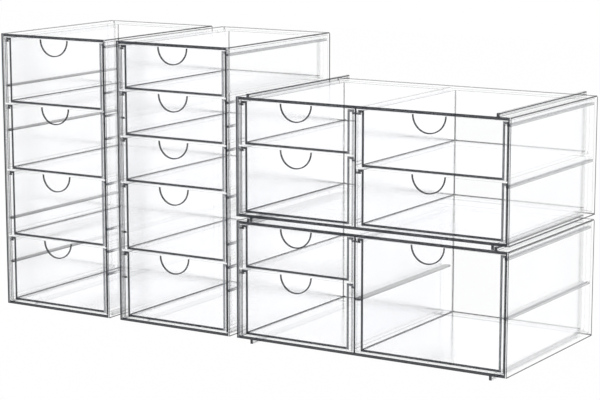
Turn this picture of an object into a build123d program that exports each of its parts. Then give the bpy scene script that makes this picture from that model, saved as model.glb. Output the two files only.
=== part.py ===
from build123d import *
import os

# Clear stackable drawer units for craft stamps, shown as a set of four:
# two towers standing on the left and two wide cases stacked on the right.
# Millimetres, +Z up, drawer fronts face -Y, origin under the middle of the set.

# ---- driving dimensions -------------------------------------------------
CASE_DEPTH = 197.5        # front rim to back face, the same for every case
WALL = 3.0                # side walls, top and floor of a case
BACK = 2.0                # back wall of a case
CORNER_R = 2.5            # rounding of the outer back corners

TOWER_W = 137.3
TOWER_H = 292.0
WIDE_W = 300.0
WIDE_H = 120.0
GAP_TOWERS = 13.8         # air between the two towers
GAP_WIDE = 8.7            # air between the middle tower and the wide cases

FOOT_H = 4.2              # foot bars under every case
STACK_LIFT = 0.1          # air left under the upper case's foot bars
FOOT_IN = 15.7            # foot bar, outer face in from the case side
FOOT_T = 2.8
FOOT_FRONT_WIDE = 0.5     # wide cases: bars start at the front rim
FOOT_FRONT_TOWER = 26.0   # towers: bars set back, out of sight from the front
BAR_END = 196.0           # foot bars and ridges stop here
RIDGE_IN = 12.2           # stacking ridge, outer face in from the case side
RIDGE_T = 3.0
RIDGE_H = 3.3

TOWER_UNITS = 12          # a tower's inside height in units
WIDE_UNITS = 5            # left column of a wide case in units
RAIL_W = 3.4              # how far a rail stands out of its wall
RAIL_T = 2.0
RAIL_DROP = 4.0           # rail top, down from the slot top
RAIL_FRONT = 4.2          # rails start just behind the drawer front
RAIL_END = 193.4

DIV_T = 3.2               # slide-in divider of a wide case
DIV_X = 135.2             # divider centre, from the left side of the case
GROOVE_T = 3.5
GROOVE_D = 1.0
DIV_FIT = 0.15            # air left at the groove bottoms
DIV_RAIL_W = 3.4

FRONT_SET = 1.0           # drawer front stands this far inside the rim
FRONT_T = 2.6
FRONT_SIDE = 1.0          # air each side of a drawer front
FRONT_LOW = 0.6           # air under it
FRONT_HIGH = 0.9          # air over it
TUB_WALL = 2.4
TUB_LOW = 1.0             # tub underside, up from the slot floor
TUB_HIGH = 1.4            # tub rim, down from the slot top
TUB_BACK = 194.4          # outer back face of the tub
FLANGE_T = 2.4            # side flanges that ride on the rails
FLANGE_AIR = 0.8          # flange edge to case wall
NOTCH_R = 16.6            # half-moon finger cut-out
NOTCH_OFF_RIGHT = -2.3    # right column: cut-out sits left of the bay's middle

TUB_GAP_TOWER = 4.8       # tub side to bay wall
TUB_GAP_LEFT = 5.6
TUB_GAP_RIGHT = 4.7

os.makedirs("parts", exist_ok=True)

# ---- where things stand -------------------------------------------------
SET_W = 2 * TOWER_W + GAP_TOWERS + GAP_WIDE + WIDE_W
X_TOWER_LEFT = -SET_W / 2
X_TOWER_MIDDLE = X_TOWER_LEFT + TOWER_W + GAP_TOWERS
X_WIDE = X_TOWER_MIDDLE + TOWER_W + GAP_WIDE
Y_FRONT = -CASE_DEPTH / 2
Z_BASE = FOOT_H
Z_UPPER = Z_BASE + WIDE_H + FOOT_H + STACK_LIFT
TOWER_U = (TOWER_H - 2 * WALL) / TOWER_UNITS
WIDE_U = (WIDE_H - 2 * WALL) / WIDE_UNITS


def facing(y):
    """Upright sketch plane y mm behind the front rim; extrude(-a) goes back."""
    return Plane.XZ.offset(-(Y_FRONT + y))


def box_sketch(x0, x1, z0, z1):
    """Rectangle between two corners in the sketch plane that is open."""
    with Locations(((x0 + x1) / 2, (z0 + z1) / 2)):
        Rectangle(x1 - x0, z1 - z0)


def bars(x_left, width, inset, thick, y0, y1):
    """A left and a right bar seen from above, mirrored in the case."""
    length = y1 - y0
    for x in (x_left + inset + thick / 2, x_left + width - inset - thick / 2):
        with Locations((x, Y_FRONT + (y0 + y1) / 2)):
            Rectangle(thick, length)


def save(part, name):
    """Label one piece and write it out."""
    part.label = name
    export_step(part, "parts/" + name + ".step")


def case_shell(x_left, z_low, width, height, left_rails, right_rails, ridged, foot_front):
    """One open-fronted case with its rails, foot bars and stacking ridges.

    left_rails and right_rails list the slot tops that carry a rail, as
    heights below the inside of the case top.
    """
    bay_left = x_left + WALL
    bay_right = x_left + width - WALL
    bay_top = z_low + height - WALL
    with BuildPart() as case:
        with BuildSketch(facing(0)):
            box_sketch(x_left, x_left + width, z_low, z_low + height)
        extrude(amount=-CASE_DEPTH)
        back = case.faces().sort_by(Axis.Y)[-1]
        upright = back.edges().filter_by(Axis.Z)
        top_back = back.edges().filter_by(Axis.X).sort_by(Axis.Z)[-1]
        fillet(upright + [top_back], radius=CORNER_R)
        with BuildSketch(facing(0)):
            box_sketch(bay_left, bay_right, z_low + WALL, bay_top)
        extrude(amount=-(CASE_DEPTH - BACK), mode=Mode.SUBTRACT)
        # rails, one profile each side for every slot top listed
        with BuildSketch(facing(RAIL_FRONT)):
            for down in left_rails:
                top = bay_top - down - RAIL_DROP
                box_sketch(bay_left - 0.5, bay_left + RAIL_W, top - RAIL_T, top)
            for down in right_rails:
                top = bay_top - down - RAIL_DROP
                box_sketch(bay_right - RAIL_W, bay_right + 0.5, top - RAIL_T, top)
        extrude(amount=-(RAIL_END - RAIL_FRONT))
        with BuildSketch(Plane.XY.offset(z_low)):
            bars(x_left, width, FOOT_IN, FOOT_T, foot_front, BAR_END)
        extrude(amount=-FOOT_H)
        if ridged:
            with BuildSketch(Plane.XY.offset(z_low + height)):
                bars(x_left, width, RIDGE_IN, RIDGE_T, FOOT_FRONT_WIDE, BAR_END)
            extrude(amount=RIDGE_H)
    return case.part


def wide_case(z_low):
    """Wide case: the shell with grooves for the slide-in divider."""
    left_rails = [0, 2 * WIDE_U]
    right_rails = [0, 2.5 * WIDE_U]
    shell = case_shell(X_WIDE, z_low, WIDE_W, WIDE_H, left_rails, right_rails,
                       True, FOOT_FRONT_WIDE)
    x = X_WIDE + DIV_X
    with BuildPart() as case:
        add(shell)
        with BuildSketch(facing(0)):
            for z in (z_low + WALL - GROOVE_D / 2, z_low + WIDE_H - WALL + GROOVE_D / 2):
                with Locations((x, z)):
                    Rectangle(GROOVE_T, GROOVE_D)
        extrude(amount=-(CASE_DEPTH - BACK), mode=Mode.SUBTRACT)
    return case.part


def divider(z_low):
    """Slide-in divider with the rails of the slots on both of its faces."""
    x = X_WIDE + DIV_X
    low = z_low + WALL - GROOVE_D + DIV_FIT
    high = z_low + WIDE_H - WALL + GROOVE_D - DIV_FIT
    bay_top = z_low + WIDE_H - WALL
    with BuildPart() as wall:
        with BuildSketch(facing(0)):
            box_sketch(x - DIV_T / 2, x + DIV_T / 2, low, high)
        extrude(amount=-(CASE_DEPTH - BACK - DIV_FIT))
        with BuildSketch(facing(RAIL_FRONT)):
            for side, steps in ((-1, (0, 2)), (1, (0, 2.5))):
                for step in steps:
                    top = bay_top - step * WIDE_U - RAIL_DROP
                    face = x + side * DIV_T / 2
                    edges = sorted((face - side * 0.5, face + side * DIV_RAIL_W))
                    box_sketch(edges[0], edges[1], top - RAIL_T, top)
        extrude(amount=-(RAIL_END - RAIL_FRONT))
    return wall.part


def drawer(bay_left, bay_right, slot_low, slot_high, tub_gap, notch_off):
    """Drawer: wide front with a half-moon cut-out, tub, and two side flanges."""
    tub_left = bay_left + tub_gap
    tub_right = bay_right - tub_gap
    tub_low = slot_low + TUB_LOW
    rim = slot_high - TUB_HIGH
    behind = FRONT_SET + FRONT_T
    middle = (bay_left + bay_right) / 2
    with BuildPart() as tray:
        # front panel
        with BuildSketch(facing(FRONT_SET)):
            box_sketch(bay_left + FRONT_SIDE, bay_right - FRONT_SIDE,
                       slot_low + FRONT_LOW, slot_high - FRONT_HIGH)
            with Locations((middle + notch_off, slot_high - FRONT_HIGH)):
                Circle(NOTCH_R, mode=Mode.SUBTRACT)
        extrude(amount=-FRONT_T)
        # tub block with its flanges, hollowed from above
        with BuildSketch(facing(behind)):
            box_sketch(tub_left, tub_right, tub_low, rim)
            box_sketch(bay_left + FLANGE_AIR, bay_right - FLANGE_AIR, rim - FLANGE_T, rim)
        extrude(amount=-(TUB_BACK - behind))
        with BuildSketch(Plane.XY.offset(tub_low + TUB_WALL)):
            with Locations((middle, Y_FRONT + (behind + TUB_BACK - TUB_WALL) / 2)):
                Rectangle(tub_right - tub_left - 2 * TUB_WALL,
                          TUB_BACK - TUB_WALL - behind)
        extrude(amount=rim - tub_low, mode=Mode.SUBTRACT)
    return tray.part


# ---- the four cases -----------------------------------------------------
TOWER_RAILS = [step * TOWER_U for step in (0, 2, 3, 4, 6, 8, 9, 10)]

for name, x in (("case_tower_left", X_TOWER_LEFT), ("case_tower_middle", X_TOWER_MIDDLE)):
    save(case_shell(x, Z_BASE, TOWER_W, TOWER_H, TOWER_RAILS, TOWER_RAILS, False,
                    FOOT_FRONT_TOWER), name)

save(wide_case(Z_BASE), "case_wide_lower")
save(wide_case(Z_UPPER), "case_wide_upper")
save(divider(Z_BASE), "divider_lower")
save(divider(Z_UPPER), "divider_upper")


# ---- the sixteen drawers ------------------------------------------------
def column(prefix, bay_left, bay_right, bay_top, unit, slots, tub_gap, notch_off=0.0):
    """Save the drawers of one column, top down; slots are heights in units."""
    top = bay_top
    for number, units in enumerate(slots, start=1):
        low = top - units * unit
        save(drawer(bay_left, bay_right, low, top, tub_gap, notch_off), f"{prefix}_{number}")
        top = low


TOWER_TOP = Z_BASE + TOWER_H - WALL
column("drawer_tower_left", X_TOWER_LEFT + WALL, X_TOWER_LEFT + TOWER_W - WALL,
       TOWER_TOP, TOWER_U, (3, 3, 3, 3), TUB_GAP_TOWER)
column("drawer_tower_middle", X_TOWER_MIDDLE + WALL, X_TOWER_MIDDLE + TOWER_W - WALL,
       TOWER_TOP, TOWER_U, (2, 2, 2, 3, 3), TUB_GAP_TOWER)

WIDE_LEFT = (X_WIDE + WALL, X_WIDE + DIV_X - DIV_T / 2)
WIDE_RIGHT = (X_WIDE + DIV_X + DIV_T / 2, X_WIDE + WIDE_W - WALL)
for level, z_low, right_slots in (("upper", Z_UPPER, (2.5, 2.5)), ("lower", Z_BASE, (5,))):
    bay_top = z_low + WIDE_H - WALL
    column(f"drawer_{level}_left", *WIDE_LEFT, bay_top, WIDE_U, (2, 3), TUB_GAP_LEFT)
    column(f"drawer_{level}_right", *WIDE_RIGHT, bay_top, WIDE_U, right_slots,
           TUB_GAP_RIGHT, NOTCH_OFF_RIGHT)
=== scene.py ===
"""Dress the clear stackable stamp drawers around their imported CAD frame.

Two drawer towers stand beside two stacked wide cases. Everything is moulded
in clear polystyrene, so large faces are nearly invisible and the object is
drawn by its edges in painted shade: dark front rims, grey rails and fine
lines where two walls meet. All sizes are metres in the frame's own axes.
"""

import logging
import math
from collections.abc import Sequence
from dataclasses import dataclass, field
from enum import Enum, IntEnum

import bpy
import numpy as np
from bpy.types import Material, Node, NodeSocket, NodeTree, Object
from mathutils import Euler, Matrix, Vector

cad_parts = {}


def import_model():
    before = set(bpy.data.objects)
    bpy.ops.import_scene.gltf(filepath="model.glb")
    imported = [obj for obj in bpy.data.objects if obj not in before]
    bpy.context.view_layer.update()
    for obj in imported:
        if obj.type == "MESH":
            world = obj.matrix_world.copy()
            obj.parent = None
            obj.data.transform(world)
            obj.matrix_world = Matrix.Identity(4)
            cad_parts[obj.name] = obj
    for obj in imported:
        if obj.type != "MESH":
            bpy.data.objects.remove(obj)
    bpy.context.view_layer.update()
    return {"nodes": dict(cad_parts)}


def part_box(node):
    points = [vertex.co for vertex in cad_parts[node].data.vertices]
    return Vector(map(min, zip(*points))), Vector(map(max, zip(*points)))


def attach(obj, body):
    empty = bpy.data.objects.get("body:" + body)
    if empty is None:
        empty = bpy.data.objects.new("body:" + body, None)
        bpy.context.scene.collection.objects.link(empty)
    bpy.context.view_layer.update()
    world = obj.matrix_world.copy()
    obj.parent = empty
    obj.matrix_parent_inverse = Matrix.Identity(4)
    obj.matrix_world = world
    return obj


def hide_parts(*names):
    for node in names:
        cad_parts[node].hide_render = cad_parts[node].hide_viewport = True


log = logging.getLogger("stamp_drawers")

# cutting planes are rounded to this many digits of a metre and compared with a hair to spare
PLANE_DIGITS = 7
HAIR = 1e-8
# a point this near a plane, in metres, lies on it
NEAR = 1e-6
# value of an empty cell, and what a bevel takes for the finish of the faces beside it
AIR = -1
NO_SLOT = -1
# unit normals whose sum is longer than this belong to one flat face
FLAT = 1.9
# width of the rounding on a moulded edge, in metres
EDGE_WIDTH = 0.0003
# brightness of the white photo tent in mirror images; seen directly it is 1
TENT_WHITE = 1.08

Array = np.ndarray
Pair = tuple[float, float]
Vec = tuple[float, float, float]


# ---- small helpers


def linear(hex_code: str) -> tuple[float, float, float, float]:
    """Turn an sRGB hex colour into linear RGBA.

    Args:
        hex_code: Colour as "#RRGGBB".

    Returns:
        Linear red, green, blue and an alpha of 1.
    """
    channels = [int(hex_code[i : i + 2], 16) / 255 for i in (1, 3, 5)]
    curve = [c / 12.92 if c <= 0.04045 else ((c + 0.055) / 1.055) ** 2.4 for c in channels]
    return (*curve, 1.0)


def add_node(
    tree: NodeTree, kind: str, settings: dict | None = None, links: dict | None = None
) -> Node:
    """Add one shader node, set its values and link its inputs.

    Args:
        tree: Node tree that gets the node.
        kind: Blender node type name.
        settings: Node properties by name, or input values by socket name or index.
        links: Output sockets of other nodes by input socket name or index.

    Returns:
        The new node.
    """
    node = tree.nodes.new(kind)
    for key, value in (settings or {}).items():
        if isinstance(key, str) and hasattr(node, key):
            setattr(node, key, value)
        else:
            node.inputs[key].default_value = value
    for key, source in (links or {}).items():
        tree.links.new(source, node.inputs[key])
    return node


def blank_material(name: str) -> tuple[Material, NodeTree]:
    """Make a material with an empty node tree.

    Args:
        name: Material name.

    Returns:
        The material and its node tree.
    """
    material = bpy.data.materials.new(name)
    material.use_nodes = True
    material.node_tree.nodes.clear()
    return material, material.node_tree


def add_math(tree: NodeTree, operation: str, *values: float | NodeSocket) -> NodeSocket:
    """Add one sum of the shader's own and return its result.

    Args:
        tree: Node tree that gets the node.
        operation: Blender name of the operation.
        values: Numbers and output sockets that it takes, in their order.

    Returns:
        The output socket.
    """
    numbers = {i: v for i, v in enumerate(values) if isinstance(v, (int, float))}
    links = {i: v for i, v in enumerate(values) if i not in numbers}
    node = add_node(tree, "ShaderNodeMath", {"operation": operation, **numbers}, links)
    return node.outputs[0]


def remap(tree: NodeTree, value: NodeSocket, source: Pair, target: Pair) -> NodeSocket:
    """Map one range of a value onto another, held at its ends.

    Args:
        tree: Node tree that gets the node.
        value: Output socket with the value.
        source: Both ends of the value's range.
        target: What these two become.

    Returns:
        The output socket.
    """
    ends = dict(zip(("From Min", "From Max", "To Min", "To Max"), source + target))
    return add_node(tree, "ShaderNodeMapRange", ends, {"Value": value}).outputs["Result"]


def seen_white(tree: NodeTree) -> tuple[NodeSocket, NodeSocket]:
    """Tell how the paper or the world is seen, and how bright white then is.

    Args:
        tree: Node tree of the paper or the world.

    Returns:
        A socket that is 1 where it is seen directly, in a mirror image or
        through something, and a socket with the strength of white.
    """
    path = add_node(tree, "ShaderNodeLightPath")
    mirrored = path.outputs["Is Glossy Ray"]
    seen = add_math(tree, "MAXIMUM", path.outputs["Is Camera Ray"], mirrored)
    seen = add_math(tree, "MAXIMUM", seen, path.outputs["Is Transmission Ray"])
    return seen, add_math(tree, "MULTIPLY_ADD", mirrored, TENT_WHITE - 1.0, 1.0)


# ---- finishes and painted edge shade


@dataclass(frozen=True)
class ClearWall:
    """Injection-moulded clear polystyrene, seen through its polished faces.

    Seen straight on, a wall lets nearly all light through with a faint cool
    tint. Towards a glancing view its two faces mirror more and more of the
    white room, so floors and tops turn into a pale veil. Slow waves from the
    melt flow vary the polish and bend the reflections.

    Attributes:
        name: Material name.
        veil: Share of light that the full veil mirrors.
        veiled_from: Facing value (0 straight on, 1 edge on) from which the veil is full.
        tint: sRGB colour of white light behind many faces.
        faces: Number of faces that give that tint.
        clear_until: Facing value up to which it is clear.
        wave: Length of one melt wave in metres.
    """

    name: str
    veil: float
    veiled_from: float
    tint: str = "#FDFEFF"
    faces: int = 14
    clear_until: float = 0.25
    wave: float = 0.045

    def build(self) -> Material:
        """Build the material.

        Returns:
            The finished material.
        """
        material, tree = blank_material(self.name)
        place = add_node(tree, "ShaderNodeTexCoord").outputs["Object"]
        waves = {"Scale": 1 / self.wave, "Detail": 2.0, "Roughness": 0.4}
        flow = add_node(tree, "ShaderNodeTexNoise", waves, {"Vector": place}).outputs["Fac"]
        # roughness from the crests to the troughs of the waves
        polish = remap(tree, flow, (0.3, 0.7), (0.12, 0.2))
        shallow = {"Strength": 0.05, "Distance": 0.002}
        bump = add_node(tree, "ShaderNodeBump", shallow, {"Height": flow}).outputs["Normal"]
        one_face = tuple(c ** (1 / self.faces) for c in linear(self.tint))
        clear = add_node(tree, "ShaderNodeBsdfTransparent", {"Color": one_face})
        gloss = add_node(
            tree,
            "ShaderNodeBsdfGlossy",
            {"Color": linear("#FEFEFF"), "distribution": "MULTI_GGX"},
            {"Roughness": polish, "Normal": bump},
        )
        turned = add_node(tree, "ShaderNodeLayerWeight", {"Blend": 0.5}).outputs["Facing"]
        mirrored = remap(tree, turned, (self.clear_until, self.veiled_from), (0.01, self.veil))
        inner = add_node(tree, "ShaderNodeNewGeometry").outputs["Backfacing"]
        share = add_math(tree, "MULTIPLY", mirrored, add_math(tree, "SUBTRACT", 1.0, inner))
        mixed = {0: share, 1: clear.outputs["BSDF"], 2: gloss.outputs["BSDF"]}
        surface = add_node(tree, "ShaderNodeMixShader", {}, mixed).outputs["Shader"]
        add_node(tree, "ShaderNodeOutputMaterial", {}, {"Surface": surface})
        return material


@dataclass(frozen=True)
class EdgeShade:
    """Clear polystyrene where a wall is seen along its length.

    Light that enters a rim or a rounded edge leaves somewhere else, so it
    looks dark grey; this grey is painted shade, a dark base colour with an
    alpha. The front rims are darkest; behind them the painted shade drops
    within a few millimetres and then fades slowly towards the back.

    Attributes:
        name: Material name.
        dark, pale: sRGB colours of the painted shade's darkest and lightest streaks.
        front: Opacity at the front rim.
        behind: Opacity just behind the front rim.
        back: Opacity at the back wall.
        start: Where the shade starts, in metres behind the front rim.
        drop: Depth over which the front shade drops, in metres.
        streak: Width of one streak in metres.
        gloss: Gloss that a dark edge still shows; 0.5 would be the plastic's own.
    """

    name: str
    dark: str
    pale: str
    front: float
    behind: float
    back: float
    start: float = 0.0
    drop: float = 0.003
    streak: float = 0.004
    gloss: float = 0.1

    def build(self, y_front: float, y_back: float) -> Material:
        """Build the material for a case that runs between two depths.

        Args:
            y_front: Depth of the front rims.
            y_back: Depth of the back faces.

        Returns:
            The finished material.
        """
        material, tree = blank_material(self.name)
        place = add_node(tree, "ShaderNodeTexCoord").outputs["Object"]
        grain = {"Scale": 1 / self.streak, "Detail": 1.0}
        streaks = add_node(tree, "ShaderNodeTexNoise", grain, {"Vector": place}).outputs["Fac"]
        # painted shade: dark grey streaks in the base colour stand in for light that the edge sends
        # away
        shades = {"data_type": "RGBA", 6: linear(self.dark), 7: linear(self.pale)}
        colour = add_node(tree, "ShaderNodeMix", shades, {0: streaks}).outputs[2]
        depth = add_node(tree, "ShaderNodeSeparateXYZ", {}, {"Vector": place}).outputs["Y"]
        # opacity of the painted shade: strong at the front rim, dropping just behind it and fading
        # towards the back
        start = y_front + self.start
        fading = (start + self.drop / 2, start + self.drop)
        near = remap(tree, depth, fading, (self.front - self.behind, 0.0))
        far = remap(tree, depth, (y_front, y_back), (self.behind, self.back))
        shader = add_node(
            tree,
            "ShaderNodeBsdfPrincipled",
            {"Roughness": 0.22, "IOR": 1.59, "Specular IOR Level": self.gloss},
            {"Base Color": colour, "Alpha": add_math(tree, "ADD", near, far)},
        )
        add_node(tree, "ShaderNodeOutputMaterial", {}, {"Surface": shader.outputs["BSDF"]})
        return material


@dataclass(frozen=True)
class StudioPaper:
    """Matt white background paper that keeps a faint shadow.

    Attributes:
        name: Material name.
        colour: sRGB colour of the paper.
        glow: Share of its brightness that needs no lamp.
    """

    name: str = "studio_paper_matt_white"
    colour: str = "#FFFFFF"
    glow: float = 0.985

    def build(self) -> Material:
        """Build the material.

        Returns:
            The finished material.
        """
        material, tree = blank_material(self.name)
        place = add_node(tree, "ShaderNodeTexCoord").outputs["Object"]
        fine = {"Scale": 300.0, "Detail": 3.0}
        fibre = add_node(tree, "ShaderNodeTexNoise", fine, {"Vector": place}).outputs["Fac"]
        rough = {"Strength": 0.1, "Distance": 0.0005}
        bump = add_node(tree, "ShaderNodeBump", rough, {"Height": fibre}).outputs["Normal"]
        colour = {"Color": linear(self.colour)}
        paper = add_node(tree, "ShaderNodeBsdfDiffuse", colour, {"Normal": bump})
        seen, strength = seen_white(tree)
        white = add_node(tree, "ShaderNodeEmission", colour, {"Strength": strength})
        share = add_math(tree, "MULTIPLY", seen, self.glow)
        mixed = {0: share, 1: paper.outputs["BSDF"], 2: white.outputs["Emission"]}
        surface = add_node(tree, "ShaderNodeMixShader", {}, mixed).outputs["Shader"]
        add_node(tree, "ShaderNodeOutputMaterial", {}, {"Surface": surface})
        return material


# ---- meshes from filled cells


class Part(IntEnum):
    """What a filled cell or a face belongs to; each has its own clear finish or painted shade."""

    WALL = 0
    TUB_WALL = 1
    INNER_WALL = 2
    RIM = 3
    SIDE_RIM = 4
    RAIL = 5
    BAND_RAIL = 6
    USED_RAIL = 7
    GAP_RAIL = 8
    FLANGE = 9
    BAR = 10
    OUTLINE = 11
    TUB_LINE = 12
    NOTCH = 13
    PANEL_SIDE = 14
    LIGHT_RIM = 15
    TUB_END = 16
    CASE_EDGE = 17
    TUB_EDGE = 18


# part, low corner and high corner
Box = tuple[Part, Vec, Vec]


@dataclass
class CellSolid:
    """A solid made of boxes that share three lists of cutting planes.

    The planes cut space into cells, and a box fills the cells inside it.

    Attributes:
        boxes: Filled boxes; later ones win.
        hollows: Boxes of air, as low and high corner, cut out of these.
        added: Boxes that are filled after the hollows are cut.
        cuts: Extra cutting planes as (axis, place).
    """

    boxes: list[Box] = field(default_factory=list)
    hollows: list[tuple[Vec, Vec]] = field(default_factory=list)
    added: list[Box] = field(default_factory=list)
    cuts: list[tuple[int, float]] = field(default_factory=list)

    def cells(self) -> tuple[list[Array], Array]:
        """Fill the cells.

        Returns:
            The sorted cutting planes along X, Y and Z, and the value of each cell.
        """
        hollows = [(AIR, low, high) for low, high in self.hollows]
        filled = [*self.boxes, *hollows, *self.added]
        planes = []
        for axis in range(3):
            places = [corner[axis] for _, *corners in filled for corner in corners]
            places += [at for along, at in self.cuts if along == axis]
            planes.append(np.unique(np.round(places, PLANE_DIGITS)))
        cells = np.full([len(p) - 1 for p in planes], AIR)
        for value, low, high in filled:
            ends = np.round([low, high], PLANE_DIGITS) - HAIR
            spans = [slice(*np.searchsorted(p, ends[:, i])) for i, p in enumerate(planes)]
            cells[tuple(spans)] = value
        return planes, cells

    def skin(self) -> tuple[Array, Array, Array, Array]:
        """Work out the outer skin of the filled cells.

        Along each axis the cell array is padded with air and compared with
        itself shifted by one cell; each change is one quad, turned so that
        it faces the air.

        Returns:
            Vertices (N, 3), quads (M, 4), the part of each quad (M,) and the
            outward normal of each quad (M, 3).
        """
        planes, cells = self.cells()
        counts = [len(p) for p in planes]
        strides = np.array([counts[1] * counts[2], counts[2], 1])
        quads, parts, normals = [], [], []
        for axis in range(3):
            pad = [(1, 1) if a == axis else (0, 0) for a in range(3)]
            padded = np.pad(cells, pad, constant_values=AIR)
            before, after = np.delete(padded, -1, axis), np.delete(padded, 0, axis)
            second, third = strides[(axis + 1) % 3], strides[(axis + 2) % 3]
            for outward, inside, outside in ((1, before, after), (-1, after, before)):
                spots = np.argwhere((inside != AIR) & (outside == AIR))
                base = spots @ strides
                ring = np.stack([base, base + second, base + second + third, base + third], 1)
                quads.append(ring if outward > 0 else ring[:, ::-1])
                parts.append(inside[tuple(spots.T)])
                direction = np.zeros((len(spots), 3))
                direction[:, axis] = outward
                normals.append(direction)
        grid = np.stack(np.meshgrid(*planes, indexing="ij"), -1).reshape(-1, 3)
        used, faces = np.unique(np.concatenate(quads), return_inverse=True)
        return grid[used], faces.reshape(-1, 4), np.concatenate(parts), np.concatenate(normals)


def beside_edges(centres: Array, sides: Sequence[Pair], width: float) -> Array:
    """Find the faces that lie in strips along the edges of a box.

    Args:
        centres: Face centres along the axes that are compared.
        sides: Lower and upper plane of the box along each of these axes.
        width: Width of the strips in metres.

    Returns:
        True for each face that is near two or more planes of the box.
    """
    planes = np.array(sides)
    gaps = np.abs(centres[:, :, None] - planes[None, :, :]).min(axis=2)
    return (gaps < width).sum(axis=1) >= 2


def facing(normals: Array, axis: int, sign: int) -> Array:
    """Return True for the faces that look up (1) or down (-1) an axis."""
    return normals[:, axis] * sign > 0.5


def repaint(parts: Array, where: Array, part: Part) -> Array:
    """Return the part of each face, with one part given to some of the faces."""
    return np.where(where, int(part), parts)


def write_mesh(name: str, points: Array, loops: Sequence[Array]) -> Object:
    """Put arrays of faces into a new mesh object at the origin.

    Args:
        name: Object and mesh name.
        points: Positions (N, 3).
        loops: Groups of faces, each an array (M, K) of point numbers.

    Returns:
        The new object, linked to the scene.
    """
    mesh = bpy.data.meshes.new(name)
    corners = np.concatenate([group.ravel() for group in loops]).astype(np.int32)
    sizes = np.concatenate([np.full(len(group), group.shape[1]) for group in loops])
    starts = np.concatenate([[0], np.cumsum(sizes)[:-1]]).astype(np.int32)
    mesh.vertices.add(len(points))
    mesh.vertices.foreach_set("co", points.astype(np.float32).ravel())
    mesh.loops.add(len(corners))
    mesh.loops.foreach_set("vertex_index", corners)
    mesh.polygons.add(len(sizes))
    mesh.polygons.foreach_set("loop_start", starts)
    mesh.update(calc_edges=True)
    mesh.polygons.foreach_set("use_smooth", np.zeros(len(sizes), dtype=bool))
    mesh.validate()
    piece = bpy.data.objects.new(name, mesh)
    bpy.context.scene.collection.objects.link(piece)
    return piece


@dataclass
class FinishesAndShades:
    """The materials of the object, clear walls and painted shades, one for each member of Part."""

    by_part: dict[Part, Material]

    def dress(self, piece: Object, parts: Array, edge: Part | None = None) -> int:
        """Give a piece the materials of its faces and of its rounded edges.

        Args:
            piece: Object to dress.
            parts: Part of each face.
            edge: Part that the rounded edges take, if there are any.

        Returns:
            The material slot of the rounded edges, or NO_SLOT.
        """
        used = np.unique(parts if edge is None else np.append(parts, int(edge)))
        for part in used:
            piece.data.materials.append(self.by_part[Part(int(part))])
        slots = np.searchsorted(used, parts).astype(np.int32)
        piece.data.polygons.foreach_set("material_index", slots)
        return NO_SLOT if edge is None else int(np.searchsorted(used, int(edge)))


@dataclass
class EdgeFacts:
    """Where the edges of a mesh lie and which faces they join.

    Attributes:
        ends: End points (E, 2, 3).
        folded: True where the two faces of an edge meet at an angle.
        highest: Highest part number among the faces of each edge.
    """

    ends: Array
    folded: Array
    highest: Array

    @classmethod
    def read(cls, piece: Object, parts: Array) -> "EdgeFacts":
        """Read the edges of a piece.

        Args:
            piece: Object whose mesh is read.
            parts: Part of each face.

        Returns:
            The facts of its edges.
        """
        mesh = piece.data
        ends = np.empty(len(mesh.edges) * 2, dtype=np.int32)
        mesh.edges.foreach_get("vertices", ends)
        places = np.empty(len(mesh.vertices) * 3, dtype=np.float32)
        mesh.vertices.foreach_get("co", places)
        loop_edges = np.empty(len(mesh.loops), dtype=np.int32)
        mesh.loops.foreach_get("edge_index", loop_edges)
        normals = np.empty(len(mesh.polygons) * 3, dtype=np.float32)
        mesh.polygons.foreach_get("normal", normals)
        sizes = np.empty(len(mesh.polygons), dtype=np.int32)
        mesh.polygons.foreach_get("loop_total", sizes)
        total = np.zeros((len(mesh.edges), 3))
        np.add.at(total, loop_edges, np.repeat(normals.reshape(-1, 3), sizes, axis=0))
        highest = np.zeros(len(mesh.edges), dtype=int)
        np.maximum.at(highest, loop_edges, np.repeat(parts, sizes))
        folded = np.linalg.norm(total, axis=1) < FLAT
        return cls(places.reshape(-1, 3)[ends.reshape(-1, 2)], folded, highest)

    def along(self, axis: int) -> Array:
        """Return True for the edges that run along an axis."""
        return np.abs(self.ends[:, 0, axis] - self.ends[:, 1, axis]) > NEAR


def round_edges(piece: Object, chosen: Array, slot: int) -> None:
    """Round some edges of a piece with a live bevel.

    Args:
        piece: Object to finish.
        chosen: True for each mesh edge that is rounded.
        slot: Material slot of the rounded edges, or NO_SLOT for that of the faces beside.
    """
    layer = piece.data.attributes.new("moulded_edge", "FLOAT", "EDGE")
    layer.data.foreach_set("value", chosen.astype(np.float32))
    bevel = piece.modifiers.new("moulded_edge", "BEVEL")
    bevel.limit_method = "WEIGHT"
    bevel.edge_weight = layer.name
    bevel.width = EDGE_WIDTH
    bevel.segments = 2
    bevel.material = slot
    bevel.use_clamp_overlap = False


# ---- the object's own pieces


@dataclass(frozen=True)
class Rail:
    """Rail that a drawer's flange slides on, alike in cases and dividers.

    Attributes:
        width: How far it stands out from its wall.
        thick: Its thickness.
        drop: Its top, below the top of the slot.
        front, end: Its two ends, behind the front rim.
    """

    width: float = 0.0034
    thick: float = 0.002
    drop: float = 0.004
    front: float = 0.0042
    end: float = 0.1934

    def box(self, part: Part, left: float, y_front: float, slot_top: float) -> Box:
        """Return the filled box of a rail.

        Args:
            part: Part that the rail is.
            left: Place of its left side.
            y_front: Depth of the front rim.
            slot_top: Height of the top of its slot.

        Returns:
            The part and the two corners.
        """
        top = slot_top - self.drop
        low = (left, y_front + self.front, top - self.thick)
        return part, low, (left + self.width, y_front + self.end, top)


RAIL = Rail()


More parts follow.
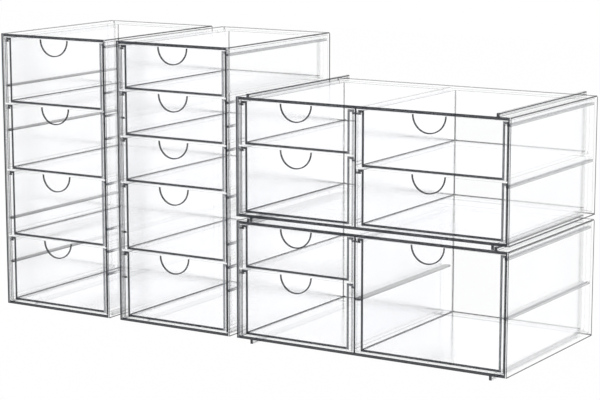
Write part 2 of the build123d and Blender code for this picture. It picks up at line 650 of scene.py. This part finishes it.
@dataclass
class CaseShell:
    """One open-fronted case with rails, foot bars and stacking ridges.

    The defaults are those of a wide case.

    Attributes:
        node: CAD node that the piece stands for.
        body: Body that it rides on.
        left_rails, right_rails: Slot tops on each side, in units below the inside top.
        used: Slot tops whose left rails lie against a drawer; they get a faint painted shade.
        gap: Slot tops whose right rails get painted shade at their fronts only, between two cases.
        units: Inside height in units.
        ridged: True where stacking ridges stand on the top.
        foot_front: Where the foot bars start, behind the front rim.
        rim_face: Painted shade of the left rim between its two lines.
        wall, back: Thickness of the sides, floor and top, and of the back.
        foot_height, ridge_height: How far foot bars and ridges stand out.
        foot_in, ridge_in: Their distance from the case's sides.
        foot_thick, ridge_thick: Their thickness.
        ridge_front, bar_end: Where ridges start, and both end, behind the front rim.
        corner: Radius of the back corners and of the top back edge.
        line: Width of the painted dark lines along corners.
        left_lines: Width of the left rim's outer and inner line.
        right_lines: Width of the right rim's inner and outer line.
    """

    node: str
    body: str
    left_rails: Sequence[float]
    right_rails: Sequence[float]
    used: Sequence[float]
    gap: Sequence[float] = ()
    units: int = 5
    ridged: bool = True
    foot_front: float = 0.0005
    rim_face: Part = Part.SIDE_RIM
    wall: float = 0.003
    back: float = 0.002
    foot_height: float = 0.0042
    foot_in: float = 0.0157
    foot_thick: float = 0.0028
    ridge_height: float = 0.0033
    ridge_in: float = 0.0122
    ridge_thick: float = 0.003
    ridge_front: float = 0.0005
    bar_end: float = 0.196
    corner: float = 0.0025
    line: float = 0.0012
    left_lines: Pair = (0.0018, 0.0004)
    right_lines: Pair = (0.0015, 0.0005)

    def walls(self) -> list[Pair]:
        """Work out the outer planes of the case's walls.

        Returns:
            The lower and the upper plane along X, Y and Z.
        """
        low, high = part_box(self.node)
        top = high[2] - (self.ridge_height if self.ridged else 0.0)
        return [(low[0], high[0]), (low[1], high[1]), (low[2] + self.foot_height, top)]

    def solid(self) -> CellSolid:
        """Fill the cells of the walls, rails, foot bars and ridges.

        Returns:
            The case as filled cells.
        """
        (x0, x1), (y0, y1), (z0, z1) = self.walls()
        form = CellSolid()
        for part_way in (self.line, (self.line + self.corner) / 2, self.corner):
            form.cuts += [(0, x0 + part_way), (0, x1 - part_way), (1, y1 - part_way)]
            form.cuts.append((2, z1 - part_way))
        form.cuts += [(1, y1 - self.corner - self.line), (2, z0 + self.line)]
        form.cuts += [(0, x0 + self.left_lines[0]), (0, x0 + self.wall - self.left_lines[1])]
        form.cuts += [(0, x1 - self.wall + self.right_lines[0]), (0, x1 - self.right_lines[1])]
        form.boxes.append((Part.WALL, (x0, y0, z0), (x1, y1, z1)))
        left, right = x0 + self.wall, x1 - self.wall
        ceiling = z1 - self.wall
        form.hollows.append(((left, y0, z0 + self.wall), (right, y1 - self.back, ceiling)))
        unit = (ceiling - z0 - self.wall) / self.units
        for step in self.left_rails:
            part = Part.USED_RAIL if step in self.used else Part.RAIL
            form.added.append(RAIL.box(part, left, y0, ceiling - step * unit))
        for step in self.right_rails:
            part = Part.GAP_RAIL if step in self.gap else Part.BAND_RAIL
            form.added.append(RAIL.box(part, right - RAIL.width, y0, ceiling - step * unit))
        for at in (x0 + self.foot_in, x1 - self.foot_in - self.foot_thick):
            low = (at, y0 + self.foot_front, z0 - self.foot_height)
            form.added.append((Part.BAR, low, (at + self.foot_thick, y0 + self.bar_end, z0)))
        if self.ridged:
            top = z1 + self.ridge_height
            form.cuts.append((2, top - self.line))
            for at in (x0 + self.ridge_in, x1 - self.ridge_in - self.ridge_thick):
                low = (at, y0 + self.ridge_front, z1)
                form.added.append((Part.BAR, low, (at + self.ridge_thick, y0 + self.bar_end, top)))
        return form

    def rims(self, centres: Array, parts: Array, at_front: Array) -> Array:
        """Give the faces of the front rim their parts.

        The top and floor rims and the rail ends get a dark painted shade. An upright
        rim has a painted line along each edge and a lighter painted shade between.

        Args:
            centres: Face centres.
            parts: Part of each face so far.
            at_front: True for the faces at the front.

        Returns:
            The part of each face.
        """
        x0, x1 = self.walls()[0]
        x = centres[:, 0]
        flat = at_front & (parts == Part.WALL)
        left, right = x0 + self.wall, x1 - self.wall
        left_face = flat & (x > x0 + self.left_lines[0]) & (x < left - self.left_lines[1])
        right_face = flat & (x > right + self.right_lines[0]) & (x < x1 - self.right_lines[1])
        parts = repaint(parts, at_front, Part.RIM)
        parts = repaint(parts, left_face, self.rim_face)
        return repaint(parts, right_face, Part.LIGHT_RIM)

    def rounded(self, points: Array) -> Array:
        """Round the upright back corners and the top back edge.

        A point on the outer walls moves onto the ball of the corner radius
        about the nearest point of the box that is that radius smaller.

        Args:
            points: Mesh points.

        Returns:
            The moved points.
        """
        (x0, x1), (y0, y1), (z0, z1) = self.walls()
        inside = (points[:, 2] > z0 - NEAR) & (points[:, 2] < z1 + NEAR)
        at_wall = np.abs(points[:, 0, None] - [x0, x1]).min(axis=1) < NEAR
        at_wall |= (np.abs(points[:, 1] - y1) < NEAR) | (np.abs(points[:, 2] - z1) < NEAR)
        behind = points[:, 1] > y1 - self.corner - NEAR
        core = points.copy()
        core[:, 0] = np.clip(core[:, 0], x0 + self.corner, x1 - self.corner)
        core[:, 1] = np.minimum(core[:, 1], y1 - self.corner)
        core[:, 2] = np.minimum(core[:, 2], z1 - self.corner)
        reach = points - core
        length = np.maximum(np.linalg.norm(reach, axis=1, keepdims=True), HAIR)
        moved = core + reach * self.corner / length
        return np.where((inside & at_wall & behind)[:, None], moved, points)

    def make(self, finishes_and_shades: FinishesAndShades) -> None:
        """Build the case, dress it and tie it to its body.

        Args:
            finishes_and_shades: Materials of the object.
        """
        (x0, x1), (y0, y1), (z0, z1) = self.walls()
        points, quads, parts, normals = self.solid().skin()
        centres = points[quads].mean(axis=1)
        x, y, z = centres.T
        wall, rightward = parts == Part.WALL, facing(normals, 0, 1)
        at_front = facing(normals, 1, -1) & (y < y0 + RAIL.front + NEAR)
        # painted dark lines along the case's outer edges and back corners, and atop the ridges
        strips = wall & beside_edges(centres, [(x0, x1), (y1, y1), (z0, z1)], self.line)
        strips |= wall & (x > x1 - NEAR) & (y > y1 - self.corner - self.line)
        strips |= rightward & (z > z1 + self.ridge_height - self.line)
        parts = repaint(parts, strips & ~at_front, Part.OUTLINE)
        parts = self.rims(centres, parts, at_front)
        inner = rightward & (x < x0 + self.wall + NEAR)
        parts = repaint(parts, inner & (parts == Part.WALL), Part.INNER_WALL)
        piece = write_mesh(self.node + "_shell", self.rounded(points), [quads])
        slot = finishes_and_shades.dress(piece, parts, Part.CASE_EDGE)
        edges = EdgeFacts.read(piece, parts)
        soft = np.isin(edges.highest, (Part.USED_RAIL, Part.GAP_RAIL)) & edges.along(1)
        round_edges(piece, edges.folded & ~soft, slot)
        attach(piece, self.body)
        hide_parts(self.node)


@dataclass
class Divider:
    """Slide-in divider with rails on both faces.

    Attributes:
        node: CAD node that the piece stands for.
        body: Body that it rides on.
        left_steps, right_steps: Slot tops on each face, in units below the inside top.
        used: Slot tops whose rails lie against a drawer; they get a faint painted shade.
        unit: Height of one unit.
        groove: Depth to which it sits in the case's grooves.
        front_lines: Width of the left and the right line on its front.
        side_line: Width of the painted dark line at the front of its right face.
    """

    node: str
    body: str
    left_steps: Sequence[float]
    right_steps: Sequence[float]
    used: Sequence[float]
    unit: float = 0.0228
    groove: float = 0.00085
    front_lines: Pair = (0.0004, 0.0011)
    side_line: float = 0.0014

    def make(self, finishes_and_shades: FinishesAndShades) -> None:
        """Build the divider, dress it and tie it to its body.

        Args:
            finishes_and_shades: Materials of the object.
        """
        low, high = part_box(self.node)
        form = CellSolid()
        left, right = low[0] + RAIL.width, high[0] - RAIL.width
        form.boxes.append((Part.WALL, (left, low[1], low[2]), (right, high[1], high[2])))
        line_left, line_right = left + self.front_lines[0], right - self.front_lines[1]
        form.cuts += [(0, line_left), (0, line_right), (1, low[1] + self.side_line)]
        for steps, at in ((self.left_steps, low[0]), (self.right_steps, right)):
            for step in steps:
                part = Part.USED_RAIL if step in self.used else Part.RAIL
                slot_top = high[2] - self.groove - step * self.unit
                form.added.append(RAIL.box(part, at, low[1], slot_top))
        points, quads, parts, normals = form.skin()
        x, y, _ = points[quads].mean(axis=1).T
        at_front = facing(normals, 1, -1)
        # right face: the inner-wall veil with a painted dark line at its front; the front gets painted
        # shade
        seen = facing(normals, 0, 1) & (parts == Part.WALL)
        parts = repaint(parts, seen, Part.INNER_WALL)
        parts = repaint(parts, seen & (y < low[1] + self.side_line), Part.PANEL_SIDE)
        parts = repaint(parts, at_front, Part.RIM)
        parts = repaint(parts, at_front & (x > line_left) & (x < line_right), Part.LIGHT_RIM)
        piece = write_mesh(self.node + "_wall", points, [quads])
        slot = finishes_and_shades.dress(piece, parts, Part.CASE_EDGE)
        edges = EdgeFacts.read(piece, parts)
        soft = (edges.highest == Part.USED_RAIL) & edges.along(1)
        round_edges(piece, edges.folded & ~soft, slot)
        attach(piece, self.body)
        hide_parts(self.node)


@dataclass(frozen=True)
class ColumnSizes:
    """What differs between the drawers of the three kinds of column.

    Attributes:
        tub_in: Tub side, in from the flange edge.
        notch_off: Cut-out, to the right of the panel's middle.
        side_line: Width of the painted dark line along the panel's right side.
        side_part: Painted shade of the panel's right side.
        left_part: Part of the line along the panel's left side: painted shade, or the clear wall where
            there is no line.
        tub_end: Painted shade of the front end of the tub's right wall.
    """

    tub_in: float
    notch_off: float = 0.0
    side_line: float = 0.0004
    side_part: Part = Part.PANEL_SIDE
    left_part: Part = Part.PANEL_SIDE
    tub_end: Part = Part.TUB_END


class Column(Enum):
    """The three kinds of column that drawers run in."""

    TOWER = ColumnSizes(tub_in=0.0040, side_line=0.0008, tub_end=Part.SIDE_RIM)
    WIDE_LEFT = ColumnSizes(tub_in=0.0048, side_part=Part.LIGHT_RIM)
    WIDE_RIGHT = ColumnSizes(tub_in=0.0039, notch_off=-0.0023, left_part=Part.WALL)


@dataclass
class Drawer:
    """Pull-out drawer: front panel with a half-moon cut-out, and its tub.

    Attributes:
        node: CAD node that the two pieces stand for.
        body: Body that they ride on.
        column: Column that the drawer runs in.
        left_wall: Finish of the inside of the tub's left wall.
        front_thick, tub_wall, flange_thick: Thickness of panel, tub and flanges.
        flange_out: How far the flanges stand out past the panel.
        tub_low, tub_high: How far the tub ends inside the panel's bottom and top.
        notch_radius: Radius of the cut-out, inside its chamfer.
        notch_edge: Size of that chamfer.
        arc_steps: Straight steps in the arc of the cut-out.
        line: Width of the painted dark lines along the tub's corners.
        left_line: Width of the line along the panel's left side.
        weld: How deep the tub sits in the panel's back.
    """

    node: str
    body: str
    column: Column
    left_wall: Part
    front_thick: float = 0.0026
    flange_out: float = 0.0002
    tub_low: float = 0.0004
    tub_high: float = 0.0005
    tub_wall: float = 0.0024
    flange_thick: float = 0.0024
    notch_radius: float = 0.0166
    notch_edge: float = 0.0011
    arc_steps: int = 40
    line: float = 0.0008
    left_line: float = 0.0009
    weld: float = 0.0001

    def front(self, finishes_and_shades: FinishesAndShades) -> Object:
        """Build the front panel from six rows of points round its thickness.

        The rows run from the left to the right side: bottom, top, top of the
        chamfer, and the same behind. Top rows follow the top edge and dip
        along a half circle, x = middle - radius * cos(t) and
        z = top - radius * sin(t), with the radius larger by the chamfer on
        the outer faces.

        Args:
            finishes_and_shades: Materials of the object.

        Returns:
            The front panel.
        """
        low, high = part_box(self.node)
        sizes = self.column.value
        left, right = low[0] + self.flange_out, high[0] - self.flange_out
        left_end, right_end = [left, left + self.left_line], [right - sizes.side_line, right]
        middle = (left + right) / 2 + sizes.notch_off
        turn = np.linspace(0.0, math.pi, self.arc_steps + 1)
        y0, y1 = low[1], low[1] + self.front_thick

        def row(y: float, radius: float, dip: bool) -> Array:
            """Lay one row of points from the left to the right side.

            Args:
                y: Depth of the row.
                radius: Radius of the half circle.
                dip: True for a top row, which dips along it.

            Returns:
                The points (N, 3).
            """
            x = np.concatenate([left_end, middle - radius * np.cos(turn), right_end])
            drop = np.pad(radius * np.sin(turn), 2)
            z = high[2] - drop if dip else np.full(len(x), low[2])
            return np.stack([x, np.full(len(x), y), z], 1)

        inner, outer = self.notch_radius, self.notch_radius + self.notch_edge
        rows = [
            row(y0, outer, False),
            row(y0, outer, True),
            row(y0 + self.notch_edge, inner, True),
            row(y1 - self.notch_edge, inner, True),
            row(y1, outer, True),
            row(y1, outer, False),
        ]
        count = len(rows[0])
        i = np.arange(count - 1)
        bands = []
        for band in range(len(rows)):
            here, above = band * count, (band + 1) % len(rows) * count
            bands.append(np.stack([here + i, here + i + 1, above + i + 1, above + i], 1))
        left_cap = np.arange(len(rows))[None, :] * count
        caps = np.concatenate([left_cap, left_cap[:, ::-1] + count - 1])
        # the bands run round the panel: front, top in three, back, underside
        faces, top, arc = [0, 4], slice(1, 4), slice(2, -2)
        # the rims get a pale painted shade, the cut-out a dark one, and lines along the sides are
        # painted; the front and back faces stay clear
        kinds = np.full((len(rows), count - 1), int(Part.LIGHT_RIM))
        kinds[faces] = Part.WALL
        kinds[top, arc] = Part.NOTCH
        kinds[faces, 0] = sizes.left_part
        kinds[faces, -1] = Part.PANEL_SIDE
        parts = np.append(kinds.ravel(), [int(Part.LIGHT_RIM), int(sizes.side_part)])
        piece = write_mesh(self.node + "_front", np.concatenate(rows), [*bands, caps])
        finishes_and_shades.dress(piece, parts)
        edges = EdgeFacts.read(piece, parts)
        round_edges(piece, edges.folded & (edges.highest >= Part.PANEL_SIDE), NO_SLOT)
        return piece

    def tub(self, finishes_and_shades: FinishesAndShades) -> Object:
        """Build the tub with its side flanges from filled cells.

        Args:
            finishes_and_shades: Materials of the object.

        Returns:
            The tub.
        """
        low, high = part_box(self.node)
        side = self.column.value.tub_in
        left, right = low[0] + side, high[0] - side
        front, back = low[1] + self.front_thick - self.weld, high[1]
        floor, rim = low[2] + self.tub_low, high[2] - self.tub_high
        shelf = rim - self.flange_thick
        in_left, in_back, in_floor = left + self.tub_wall, back - self.tub_wall, floor + self.tub_wall
        form = CellSolid()
        form.boxes.append((Part.TUB_WALL, (left, front, floor), (right, back, rim)))
        form.boxes.append((Part.FLANGE, (low[0], front, shelf), (left, back, rim)))
        form.boxes.append((Part.FLANGE, (right, front, shelf), (high[0], back, rim)))
        form.hollows.append(((in_left, front, in_floor), (right - self.tub_wall, in_back, rim)))
        form.cuts += [(0, in_left + self.line), (1, in_back - self.line), (2, in_floor + self.line)]
        form.cuts += [(0, left + self.line), (2, floor + self.line)]
        points, quads, parts, normals = form.skin()
        centres = points[quads].mean(axis=1)
        x, y, _ = centres.T
        inside = [(in_left, in_left), (in_back, in_back), (in_floor, in_floor)]
        lined = beside_edges(centres, inside, self.line)
        lined |= beside_edges(centres[:, ::2], [(left, left), (floor, floor)], self.line)
        at_front = facing(normals, 1, -1) & (y < front + NEAR)
        # painted dark lines along the inner corners and the outer bottom-left edge; painted shade on
        # the front ends
        parts = repaint(parts, lined & (parts == Part.TUB_WALL), Part.TUB_LINE)
        parts = repaint(parts, at_front, self.column.value.tub_end)
        parts = repaint(parts, at_front & (x <= right - self.tub_wall), Part.RIM)
        inner_left = facing(normals, 0, 1) & (np.abs(x - in_left) < NEAR)
        parts = repaint(parts, inner_left & (parts == Part.TUB_WALL), self.left_wall)
        piece = write_mesh(self.node + "_tub", points, [quads])
        slot = finishes_and_shades.dress(piece, parts, Part.TUB_EDGE)
        edges = EdgeFacts.read(piece, parts)
        round_edges(piece, edges.folded & (edges.highest != Part.FLANGE), slot)
        return piece

    def make(self, finishes_and_shades: FinishesAndShades) -> None:
        """Build both pieces and tie them to the drawer's body.

        Args:
            finishes_and_shades: Materials of the object.
        """
        front, tub = self.front(finishes_and_shades), self.tub(finishes_and_shades)
        for piece in (front, tub):
            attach(piece, self.body)
        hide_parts(self.node)


# ---- studio


@dataclass
class Studio:
    """White paper floor, soft light and the photograph's camera.

    Attributes:
        camera_place: Camera position.
        azimuth: Turn about Z in degrees, to the right of the front.
        elevation: Angle that it looks down in degrees.
        lens, sensor: Focal length and sensor width in millimetres.
        reach: How far the camera sees.
        floor_size: Side of the square floor.
        floor_gap: Gap between the foot bars and the floor.
        room_tint, room_level: sRGB colour and strength of the light from all sides.
        lamp_size: Width and height of the soft lamp.
        lamp_place: Position of the lamp.
        lamp_turn: Tilt and turn of the lamp in degrees.
        lamp_power: Power of the lamp in watts.
    """

    camera_place: Vec = (1.08273, -1.73038, 0.49133)
    azimuth: float = 31.747
    elevation: float = 10.034
    lens: float = 120.07
    sensor: float = 36.0
    reach: float = 20.0
    floor_size: float = 6.0
    floor_gap: float = 0.0002
    room_tint: str = "#FAFBFD"
    room_level: float = 0.72
    lamp_size: Pair = (1.6, 1.2)
    lamp_place: Vec = (-0.9, -1.4, 1.7)
    lamp_turn: Pair = (42.0, -33.0)
    lamp_power: float = 14.0

    def camera(self) -> None:
        """Place the camera at the photograph's viewing angle."""
        data = bpy.data.cameras.new("photo_camera")
        data.sensor_width = self.sensor
        data.lens = self.lens
        data.clip_end = self.reach
        camera = bpy.data.objects.new("photo_camera", data)
        camera.location = self.camera_place
        turn = (math.radians(90 - self.elevation), 0.0, math.radians(self.azimuth))
        camera.rotation_euler = Euler(turn)
        bpy.context.scene.collection.objects.link(camera)
        bpy.context.scene.camera = camera

    def floor(self) -> None:
        """Lay the paper floor just below the foot bars."""
        half = self.floor_size / 2
        corners = np.array([[-half, -half], [half, -half], [half, half], [-half, half]])
        points = np.column_stack([corners, np.full(len(corners), -self.floor_gap)])
        floor = write_mesh("paper_floor", points, [np.array([[0, 1, 2, 3]])])
        floor.data.materials.append(StudioPaper().build())

    def light(self) -> None:
        """Set an even white world and one large soft lamp."""
        world = bpy.data.worlds.new("studio_world")
        bpy.context.scene.world = world
        world.use_nodes = True
        tree = world.node_tree
        tree.nodes.clear()
        seen, strength = seen_white(tree)
        room = {"Color": linear(self.room_tint), "Strength": self.room_level}
        around = add_node(tree, "ShaderNodeBackground", room)
        white = {"Color": linear("#FFFFFF")}
        tent = add_node(tree, "ShaderNodeBackground", white, {"Strength": strength})
        mixed = {0: seen, 1: around.outputs["Background"], 2: tent.outputs["Background"]}
        surface = add_node(tree, "ShaderNodeMixShader", {}, mixed).outputs["Shader"]
        add_node(tree, "ShaderNodeOutputWorld", {}, {"Surface": surface})
        data = bpy.data.lights.new("softbox", "AREA")
        data.shape = "RECTANGLE"
        data.size, data.size_y = self.lamp_size
        data.energy = self.lamp_power
        lamp = bpy.data.objects.new("softbox", data)
        lamp.location = self.lamp_place
        tilt, turn = np.radians(self.lamp_turn)
        lamp.rotation_euler = Euler((tilt, 0.0, turn))
        bpy.context.scene.collection.objects.link(lamp)


# ---- build

WALLS = {
    # large faces: nearly unseen from the front, a pale veil on tops and floors
    Part.WALL: ClearWall("polystyrene_case_wall", veil=0.3, veiled_from=0.83),
    # tubs of thinner plastic, less well polished: a whiter veil
    Part.TUB_WALL: ClearWall("polystyrene_tub_wall", veil=0.72, veiled_from=0.83),
    # side walls seen from inside a case: they mirror its white room, and hide what is behind
    Part.INNER_WALL: ClearWall("polystyrene_inner_wall", veil=0.94, veiled_from=0.5, clear_until=0.22),
}
# where the painted shade of a tub's edges starts, behind the front rim
TUB_START = 0.0036
# painted shade for the parts seen along a wall's length, where clear plastic looks dark
SHADES = {
    # rims and lines, which draw the object: painted shade, near-black with soft grey streaks
    Part.RIM: EdgeShade("polystyrene_front_rim", "#1B1D21", "#3A3E44", 0.95, 0.95, 0.85),
    Part.OUTLINE: EdgeShade("polystyrene_outline", "#1B1D21", "#3A3E44", 0.92, 0.85, 0.92),
    Part.TUB_LINE: EdgeShade("polystyrene_tub_line", "#1B1D21", "#3A3E44", 0.92, 0.85, 0.85),
    Part.NOTCH: EdgeShade("polystyrene_cut_out", "#1B1D21", "#34373C", 0.92, 0.92, 0.8),
    Part.PANEL_SIDE: EdgeShade("polystyrene_panel_side", "#1B1D21", "#34373C", 0.9, 0.9, 0.9),
    # rounded moulded edges: the finest painted dark lines, fading towards the back
    Part.CASE_EDGE: EdgeShade("polystyrene_case_edge", "#15171A", "#2C2F34", 0.97, 0.85, 0.75),
    Part.TUB_EDGE: EdgeShade(
        "polystyrene_tub_edge", "#1B1D21", "#3A3E44", 0.95, 0.85, 0.75, start=TUB_START
    ),
    # flat of a rim between its two lines: a painted mid grey or pale band of shade
    Part.SIDE_RIM: EdgeShade("polystyrene_side_rim", "#5E636A", "#858A91", 0.75, 0.75, 0.65),
    Part.LIGHT_RIM: EdgeShade("polystyrene_light_rim", "#8B9097", "#B2B7BC", 0.25, 0.25, 0.2),
    Part.TUB_END: EdgeShade("polystyrene_tub_end", "#34383E", "#62676E", 0.85, 0.85, 0.8),
    # rails in painted shade: dark where one is free, a grey band on a right wall, faint beside a
    # drawer
    Part.RAIL: EdgeShade("polystyrene_free_rail", "#1F2226", "#3F4349", 0.85, 0.75, 0.65),
    Part.BAND_RAIL: EdgeShade("polystyrene_band_rail", "#7D8289", "#9DA2A8", 0.5, 0.45, 0.45),
    Part.USED_RAIL: EdgeShade("polystyrene_used_rail", "#83888F", "#A9AEB4", 0.2, 0.15, 0.12),
    # a short painted grey stub in the gap between the towers
    Part.GAP_RAIL: EdgeShade(
        "polystyrene_gap_rail", "#5E636A", "#858A91", 0.8, 0.2, 0.12, start=RAIL.front, drop=0.02
    ),
    # flanges, foot bars and ridges: a breath of painted grey between their dark edges
    Part.FLANGE: EdgeShade("polystyrene_tub_flange", "#8B9097", "#B2B7BC", 0.1, 0.06, 0.05),
    Part.BAR: EdgeShade("polystyrene_foot_bar", "#6F747B", "#979CA3", 0.25, 0.15, 0.12),
}

# slot tops in units below the inside top (wide cases: of the left and the right side),
# and those whose rails lie against a drawer and get a faint painted shade
TOWER_STEPS = (0, 2, 3, 4, 6, 8, 9, 10)
TOWER_USED = {"left": (0, 3, 6, 9), "middle": TOWER_STEPS}
WIDE_STEPS = ((0, 2), (0, 2.5))
WIDE_USED = {"upper": (0, 2, 2.5), "lower": (0, 2)}


def cases() -> list[CaseShell]:
    """List the four cases.

    Returns:
        The two towers and the two wide cases.
    """
    towers = [
        CaseShell(
            f"case_tower_{side}",
            f"tower_{side}",
            left_rails=TOWER_STEPS,
            right_rails=TOWER_STEPS,
            used=used,
            gap=TOWER_STEPS[1:],
            units=12,
            ridged=False,
            foot_front=0.026,
            rim_face=Part.LIGHT_RIM,
            left_lines=(0.0022, 0.0004),
        )
        for side, used in TOWER_USED.items()
    ]
    wides = [
        CaseShell(f"case_wide_{level}", f"case_{level}", *WIDE_STEPS, used)
        for level, used in WIDE_USED.items()
    ]
    return towers + wides


# drawers through whose left walls the rails behind show
RAILS_SEEN = ("drawer_tower_left", "drawer_lower_right")


def drawers(nodes: Sequence[str]) -> list[Drawer]:
    """List a drawer for each drawer node of the frame.

    Args:
        nodes: Names of the CAD nodes.

    Returns:
        The drawers in name order.
    """
    found = []
    for node in sorted(n for n in nodes if n.startswith("drawer_")):
        if "tower" in node:
            column = Column.TOWER
        else:
            column = Column.WIDE_RIGHT if "right" in node else Column.WIDE_LEFT
        left_wall = Part.TUB_WALL if node.startswith(RAILS_SEEN) else Part.INNER_WALL
        found.append(Drawer(node, node + "_body", column, left_wall))
    return found


def main() -> None:
    """Build the camera, the stage and every piece."""
    logging.basicConfig(level=logging.INFO, format="%(message)s")
    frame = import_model()
    scene = bpy.context.scene
    scene.view_settings.view_transform = "Standard"
    # enough bounces to see through every clear face of the set
    scene.cycles.transparent_max_bounces = 96
    scene.cycles.glossy_bounces = 16
    scene.cycles.max_bounces = 24
    studio = Studio()
    studio.camera()
    studio.floor()
    studio.light()
    low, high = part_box("case_wide_lower")
    materials = {part: wall.build() for part, wall in WALLS.items()}
    materials |= {part: shade.build(low[1], high[1]) for part, shade in SHADES.items()}
    finishes_and_shades = FinishesAndShades(materials)
    for case in cases():
        case.make(finishes_and_shades)
        log.info("case %s", case.node)
    for level, used in WIDE_USED.items():
        Divider(f"divider_{level}", f"case_{level}", *WIDE_STEPS, used).make(finishes_and_shades)
        log.info("divider %s", level)
    for drawer in drawers(list(frame["nodes"])):
        drawer.make(finishes_and_shades)
        log.info("drawer %s", drawer.node)


if __name__ == "__main__":
    main()
